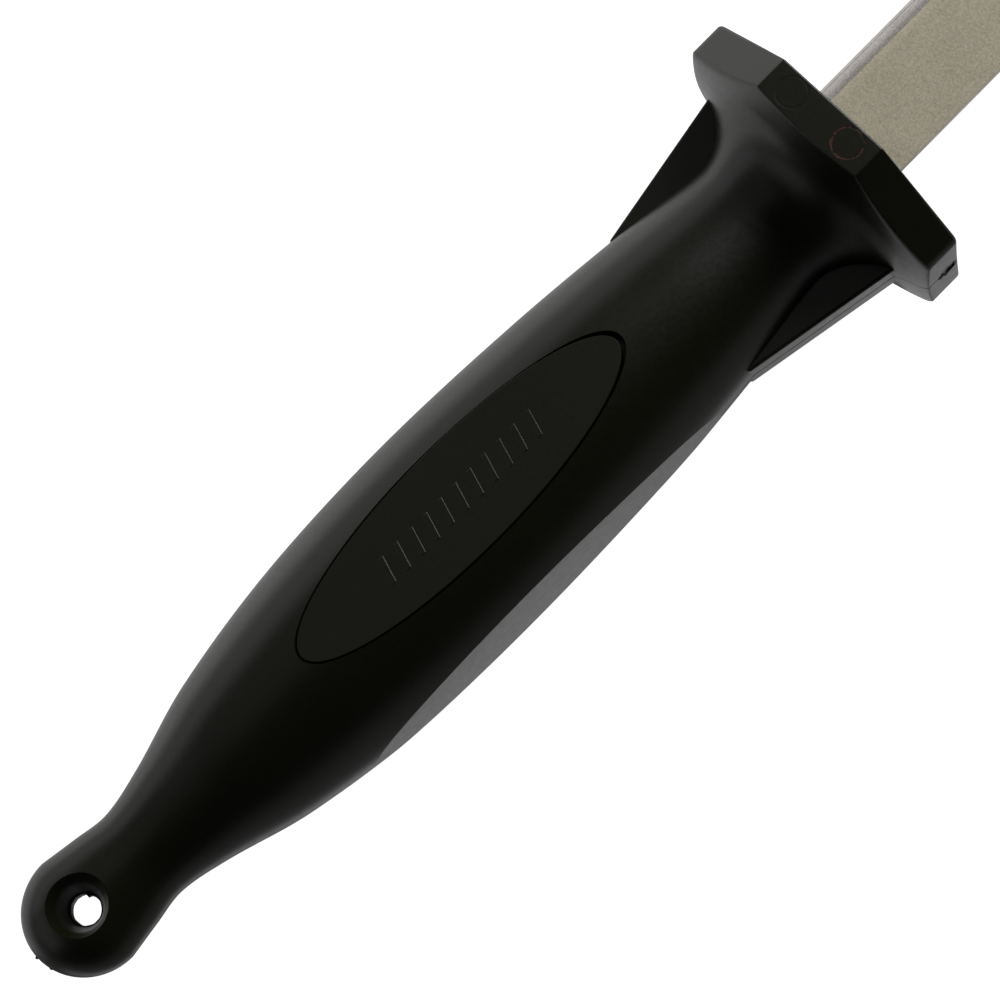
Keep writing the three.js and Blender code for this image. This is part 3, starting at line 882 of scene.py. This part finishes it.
RIB_SPACING = 2.5
RIB_SLANT = 0.3
RIB_LEVELS = ((-0.4, 0.38, 1.75), (-0.068, 0.38, 1.75), (0.0, 0.29, 1.66))  # [height, half sizes]
PLATE_LEVELS = (  # [depth below the oval's face, how far the edge is drawn in]
    (2.0, 0.0), (0.13, 0.0), (0.1, 0.01), (0.075, 0.035), (0.065, 0.09),
)
PLATE_GAP = (0.45, 0.17)  # how much smaller than its pocket the plate is at its ends and sides
PLATE_SHIFT = (-0.2, 0.03)  # the plate sits unevenly in its pocket
DOWEL_SLACK = 0.1
CAP_WALL, CAP_LIP, CAP_NOSE = 1.0, 0.3, 1.1  # thickness and edge roundings of the tip cap


def relief_ribs(side):
    """A plain row of slanted raised ribs along the plate, with sloping sides."""
    centre = GUARD_FRONT - OVAL_CENTRE
    tools = []
    for k in range(-5, 6):
        rings = []
        for z, half_width, half_length in RIB_LEVELS:
            corners = np.array([(-1, -1), (1, -1), (1, 1), (-1, 1)]) * (half_width, half_length)
            x = centre + k * RIB_SPACING + corners[:, 0] + RIB_SLANT * corners[:, 1]
            rings.append(np.column_stack([x, corners[:, 1], np.full(4, side * (OVAL_FACE + z))]))
        rib = clean_solid(skin(f"relief_{side}_{k}", rings))
        tag_faces(rib, RIB_CUT)
        tools.append(rib)
    return tools


def oval_plates():
    half_length, half_width = OVAL_HALF_LENGTH - PLATE_GAP[0], OVAL_HALF_WIDTH - PLATE_GAP[1]
    for side, node in ((1, "oval_plate_top"), (-1, "oval_plate_bottom")):
        rings = []
        for depth, inset in PLATE_LEVELS:
            outline = ellipse(half_length - inset, half_width - inset)
            outline += PLATE_SHIFT
            height = np.full(len(outline), side * (OVAL_FACE - depth))
            rings.append(np.column_stack([outline, height]))
        plate = clean_solid(skin(f"{node}_inlay", rings))
        tag_faces(plate, 0)
        for tool in relief_ribs(side):
            combine(plate, tool, "UNION")
        crisp(plate, 25)
        for face in plate.data.polygons:
            level = abs(face.normal.z) >= 0.9999
            face.use_smooth = not level
        dress(plate, PLATE_LOOK, "plate_plastic", node)


def bar_core():
    core = bar_length("sharpening_bar_core", core_section(), CORE_BOX[0][0], CORE_BOX[1][0])
    for node in ("tang_dowel_front", "tang_dowel_rear"):
        low, high = node_box(node)
        middle = (low + high) / 2
        radius = (high[0] - low[0]) / 2 + DOWEL_SLACK
        combine(core, round_cut(middle[0], middle[1], radius, -5, 5), "DIFFERENCE")
    dress(crisp(core), BAR_LOOK, "bar_steel", "sharpening_bar")


def abrasive_faces():
    x0, x1 = SHEET_BOX[0][0], SHEET_BOX[1][0]
    faces = (
        ("abrasive_coarse_face", sheet_section(), COARSE_LOOK, "coarse_grit"),
        ("abrasive_medium_face", mirrored(sheet_section()), MEDIUM_LOOK, "medium_grit"),
        ("abrasive_fine_spine", spine_section(), FINE_LOOK, "fine_grit"),
    )
    for node, outline, look, slot in faces:
        piece = bar_length(f"{node}_layer", outline, x0, x1)
        dress(crisp(piece, 20), look, slot, node)


def tip_cap():
    """The end cap: softened lip, rounded nose and a socket for the bar."""
    x0, x1 = CAP_BOX[0][0], CAP_BOX[1][0]
    levels = []  # [place along the bar, how far the outside is drawn in]
    for angle in np.linspace(0, math.pi / 2, 6):
        levels.append((x0 + CAP_LIP * (1 - math.cos(angle)), CAP_LIP * (1 - math.sin(angle))))
    for angle in np.linspace(0, math.pi / 2, 14):
        levels.append((x1 - CAP_NOSE * (1 - math.sin(angle)), CAP_NOSE * (1 - math.cos(angle))))
    rings = []
    for x, inset in levels:
        rings.append(np.array([(x, y, z) for y, z in whole_section(inset - CAP_WALL)]))
    cap = clean_solid(skin("tip_cap_moulding", rings))
    tag_faces(cap, 0)
    end = CORE_BOX[1][0] + 0.2
    socket = bar_length("cap_socket", core_section(0.1), x0 - 1, end, SOCKET_CUT)
    combine(cap, socket, "DIFFERENCE")
    dress(crisp(cap, 20), CAP_LOOK, "cap_plastic", "tip_cap")


def dowels():
    for node in ("tang_dowel_front", "tang_dowel_rear"):
        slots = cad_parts[node].data.materials
        slots.clear()
        slots.append(DOWEL_LOOK)


# ------------------------------------------------------------------ stage, light and camera

def aim(thing, place, target):
    thing.location = Vector(place)
    thing.rotation_euler = (Vector(target) - Vector(place)).to_track_quat("-Z", "Y").to_euler()


def camera():
    """Looks down on the upper plate, leaning a little to the side of the bar's thin edge."""
    data = bpy.data.cameras.new("camera")
    data.lens = 132.6
    data.sensor_width = 36
    data.clip_start = 0.01
    data.clip_end = 50
    eye = bpy.data.objects.new("camera", data)
    eye.location = Vector((GUARD_FRONT - 80.22, -107.535, 443.64)) * MM
    eye.rotation_euler = Euler([math.radians(a) for a in (11.296, 7.922, -44.749)])
    bpy.context.scene.collection.objects.link(eye)
    bpy.context.scene.camera = eye


WHITE = (1, 1, 1)
SOFTBOXES = (  # [name, place, size, watts, colour], in metres
    ("side_softbox", (-0.12, 0.7, 0.21), (1.6, 0.32), 1.12, (0.98, 0.99, 1.0)),
    ("upper_softbox", (-0.16, 0.4, 0.8), (1.2, 0.7), 0.38, WHITE),
    ("tip_softbox", (0.8, 0.1, 0.6), (0.6, 0.5), 7.6, WHITE),
    ("butt_softbox", (-1.0, 0.25, 0.35), (0.7, 0.5), 0.45, WHITE),
)
FLOOR_LIGHTS = (  # [name, centre, size, radiance, turn in degrees], in metres
    ("near_left_floor_light", (-0.1, 0.0415), (0.5, 0.057), 0.44, 0),
    ("far_left_floor_light", (-0.1, 0.27), (0.6, 0.4), 0.75, 0),
    ("right_floor_light", (-0.155, -0.019), (0.186, 0.011), 0.58, -1),
    ("guard_floor_light", (-0.03, -0.0262), (0.06, 0.011), 0.42, 0),
    ("bar_floor_light", (0.0, -0.0145), (0.1, 0.012), 1.5, 0),
    ("hole_floor_light", (-0.186, -0.012), (0.03, 0.02), 0.3, 0),
)
FLOOR_GAP = 0.0002  # between the tool and the floor, in metres


def softbox(name, place, target, size, power, colour=WHITE):
    data = bpy.data.lights.new(name, "AREA")
    data.shape = "RECTANGLE"
    data.size, data.size_y = size
    data.energy = power
    data.color = colour
    lamp = bpy.data.objects.new(name, data)
    bpy.context.scene.collection.objects.link(lamp)
    aim(lamp, place, target)
    lamp.visible_camera = False
    return lamp


def stage_floor():
    """A pale floor that the tool lies on: it touches the guard's lower edge and the tip cap.

    Its glow lights only itself. Panels beside the tool stand in for its light on the tool.
    """
    guard = Vector((GUARD_FRONT - RIM_EDGE[0], 0, -GUARD_HALF_HEIGHT)) * MM
    tip = Vector((TIP_END - CAP_NOSE, 0, CAP_BOX[0][2])) * MM
    lean = math.atan2(tip.z - guard.z, tip.x - guard.x)
    reach = 3.0
    corners = [(-reach, -reach), (reach, -reach), (reach, reach), (-reach, reach)]
    mesh = bpy.data.meshes.new("floor")
    mesh.from_pydata([(x, y, 0) for x, y in corners], [], [(0, 1, 2, 3)])
    floor = bpy.data.objects.new("floor", mesh)
    floor.location = guard + Vector((0, 0, -FLOOR_GAP))
    floor.rotation_euler = (0, -lean, 0)
    bpy.context.scene.collection.objects.link(floor)
    material, shader = new_material("floor_white", 0.7, 0.0, 0.2)
    links = material.node_tree.links
    cloud = noise_node(material, 3, 2)
    pale = [(0.3, (0.54, 0.54, 0.54)), (0.7, (0.56, 0.56, 0.56))]
    links.new(ramp(material, cloud.outputs["Fac"], pale), shader.inputs["Base Color"])
    shader.inputs["Emission Color"].default_value = (1, 1, 1, 1)
    shader.inputs["Emission Strength"].default_value = 1
    mesh.materials.append(material)
    only_floor = bpy.data.collections.new("lit_by_the_floor")
    only_floor.objects.link(floor)
    floor.light_linking.receiver_collection = only_floor
    return lean


def floor_panel(name, lean, centre, size, radiance, turn):
    """A soft light that lies on the floor beside the tool and shines up."""
    x, y = centre
    rise = (x - GUARD_FRONT * MM) * math.tan(lean)
    lamp = softbox(name, (x, y, 0), (x, y, 1), size, radiance * math.pi * size[0] * size[1])
    lamp.location.z = -GUARD_HALF_HEIGHT * MM + rise + 0.0004
    facing = Euler((0, -lean, 0)).to_matrix() @ Euler((math.pi, 0, 0)).to_matrix()
    lamp.rotation_euler = (facing @ Euler((0, 0, -turn)).to_matrix()).to_euler()


def light(lean):
    world = bpy.data.worlds.new("studio")
    world.use_nodes = True
    backdrop = world.node_tree.nodes["Background"]
    backdrop.inputs["Color"].default_value = (0.95, 0.97, 1, 1)
    backdrop.inputs["Strength"].default_value = 0.02
    bpy.context.scene.world = world
    middle = (-0.115, 0, 0)
    for name, place, size, power, colour in SOFTBOXES:
        softbox(name, place, middle, size, power, colour)
    for name, centre, size, radiance, turn in FLOOR_LIGHTS:
        floor_panel(name, lean, centre, size, radiance, math.radians(turn))


def main():
    camera()
    handle_halves()
    oval_plates()
    bar_core()
    abrasive_faces()
    tip_cap()
    dowels()
    light(stage_floor())
    bpy.context.scene.view_settings.view_transform = "Standard"
    bpy.context.view_layer.update()


main()
